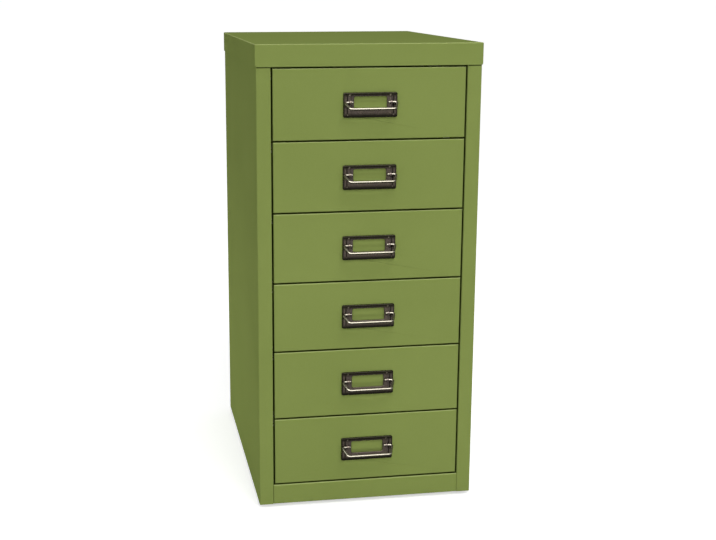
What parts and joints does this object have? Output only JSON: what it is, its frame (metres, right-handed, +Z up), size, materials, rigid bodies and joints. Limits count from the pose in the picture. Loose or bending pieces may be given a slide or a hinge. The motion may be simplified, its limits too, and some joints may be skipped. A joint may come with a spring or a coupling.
{
  "type": "metal drawer cabinet",
  "caption": "Narrow sheet-steel desk cabinet with flush sliding drawers, card-frame handle plates and wire bail pulls.",
  "frame": {"origin": "on the floor, in the middle of the overall box, bails included", "axes": "+Z up, -Y towards the front where the drawers open, +X to the right of someone facing the front"},
  "size_m": [0.2812, 0.4026, 0.59],
  "materials": {
    "green_paint": "satin powder coat, olive green",
    "black_nickel": "dark nickel plate, polished",
    "zinc_plate": "bright zinc plate",
    "nylon": "natural nylon",
    "foot_rubber": "black, matte"
  },
  "bodies": {
    "cabinet": {"top_cap": "green_paint", "left_side_panel": "green_paint", "right_side_panel": "green_paint", "back_panel": "green_paint", "base_panel": "green_paint", "bottom_rail": "green_paint", "feet": "foot_rubber", "runner_liners": "nylon", "left_runner_1": "zinc_plate", "left_runner_2": "zinc_plate", "left_runner_3": "zinc_plate", "left_runner_4": "zinc_plate", "left_runner_5": "zinc_plate", "left_runner_6": "zinc_plate", "right_runner_1": "zinc_plate", "right_runner_2": "zinc_plate", "right_runner_3": "zinc_plate", "right_runner_4": "zinc_plate", "right_runner_5": "zinc_plate", "right_runner_6": "zinc_plate"},
    "drawer_1": {"drawer_1_front": "green_paint", "drawer_1_tray": "green_paint", "drawer_1_plate": "black_nickel", "drawer_1_screws": "zinc_plate", "drawer_1_glides": "nylon"},
    "bail_1": {"drawer_1_bail": "black_nickel"},
    "drawer_2": {"drawer_2_front": "green_paint", "drawer_2_tray": "green_paint", "drawer_2_plate": "black_nickel", "drawer_2_screws": "zinc_plate", "drawer_2_glides": "nylon"},
    "bail_2": {"drawer_2_bail": "black_nickel"},
    "drawer_3": {"drawer_3_front": "green_paint", "drawer_3_tray": "green_paint", "drawer_3_plate": "black_nickel", "drawer_3_screws": "zinc_plate", "drawer_3_glides": "nylon"},
    "bail_3": {"drawer_3_bail": "black_nickel"},
    "drawer_4": {"drawer_4_front": "green_paint", "drawer_4_tray": "green_paint", "drawer_4_plate": "black_nickel", "drawer_4_screws": "zinc_plate", "drawer_4_glides": "nylon"},
    "bail_4": {"drawer_4_bail": "black_nickel"},
    "drawer_5": {"drawer_5_front": "green_paint", "drawer_5_tray": "green_paint", "drawer_5_plate": "black_nickel", "drawer_5_screws": "zinc_plate", "drawer_5_glides": "nylon"},
    "bail_5": {"drawer_5_bail": "black_nickel"},
    "drawer_6": {"drawer_6_front": "green_paint", "drawer_6_tray": "green_paint", "drawer_6_plate": "black_nickel", "drawer_6_screws": "zinc_plate", "drawer_6_glides": "nylon"},
    "bail_6": {"drawer_6_bail": "black_nickel"}
  },
  "joints": [
    {"name": "drawer_1_slide", "type": "slide", "parent": "cabinet", "child": "drawer_1", "axis": [0, -1, 0], "range_m": [0, 0.28]},
    {"name": "bail_1_swing", "type": "hinge", "parent": "drawer_1", "child": "bail_1", "pos_m": [0, -0.1841, 0.51983], "axis": [-1, 0, 0], "range_deg": [0, 105]},
    {"name": "drawer_2_slide", "type": "slide", "parent": "cabinet", "child": "drawer_2", "axis": [0, -1, 0], "range_m": [0, 0.28]},
    {"name": "bail_2_swing", "type": "hinge", "parent": "drawer_2", "child": "bail_2", "pos_m": [0, -0.1841, 0.4315], "axis": [-1, 0, 0], "range_deg": [0, 105]},
    {"name": "drawer_3_slide", "type": "slide", "parent": "cabinet", "child": "drawer_3", "axis": [0, -1, 0], "range_m": [0, 0.28]},
    {"name": "bail_3_swing", "type": "hinge", "parent": "drawer_3", "child": "bail_3", "pos_m": [0, -0.1841, 0.34317], "axis": [-1, 0, 0], "range_deg": [0, 105]},
    {"name": "drawer_4_slide", "type": "slide", "parent": "cabinet", "child": "drawer_4", "axis": [0, -1, 0], "range_m": [0, 0.28]},
    {"name": "bail_4_swing", "type": "hinge", "parent": "drawer_4", "child": "bail_4", "pos_m": [0, -0.1841, 0.25483], "axis": [-1, 0, 0], "range_deg": [0, 105]},
    {"name": "drawer_5_slide", "type": "slide", "parent": "cabinet", "child": "drawer_5", "axis": [0, -1, 0], "range_m": [0, 0.28]},
    {"name": "bail_5_swing", "type": "hinge", "parent": "drawer_5", "child": "bail_5", "pos_m": [0, -0.1841, 0.1665], "axis": [-1, 0, 0], "range_deg": [0, 105]},
    {"name": "drawer_6_slide", "type": "slide", "parent": "cabinet", "child": "drawer_6", "axis": [0, -1, 0], "range_m": [0, 0.28]},
    {"name": "bail_6_swing", "type": "hinge", "parent": "drawer_6", "child": "bail_6", "pos_m": [0, -0.1841, 0.07817], "axis": [-1, 0, 0], "range_deg": [0, 105]}
  ]
}
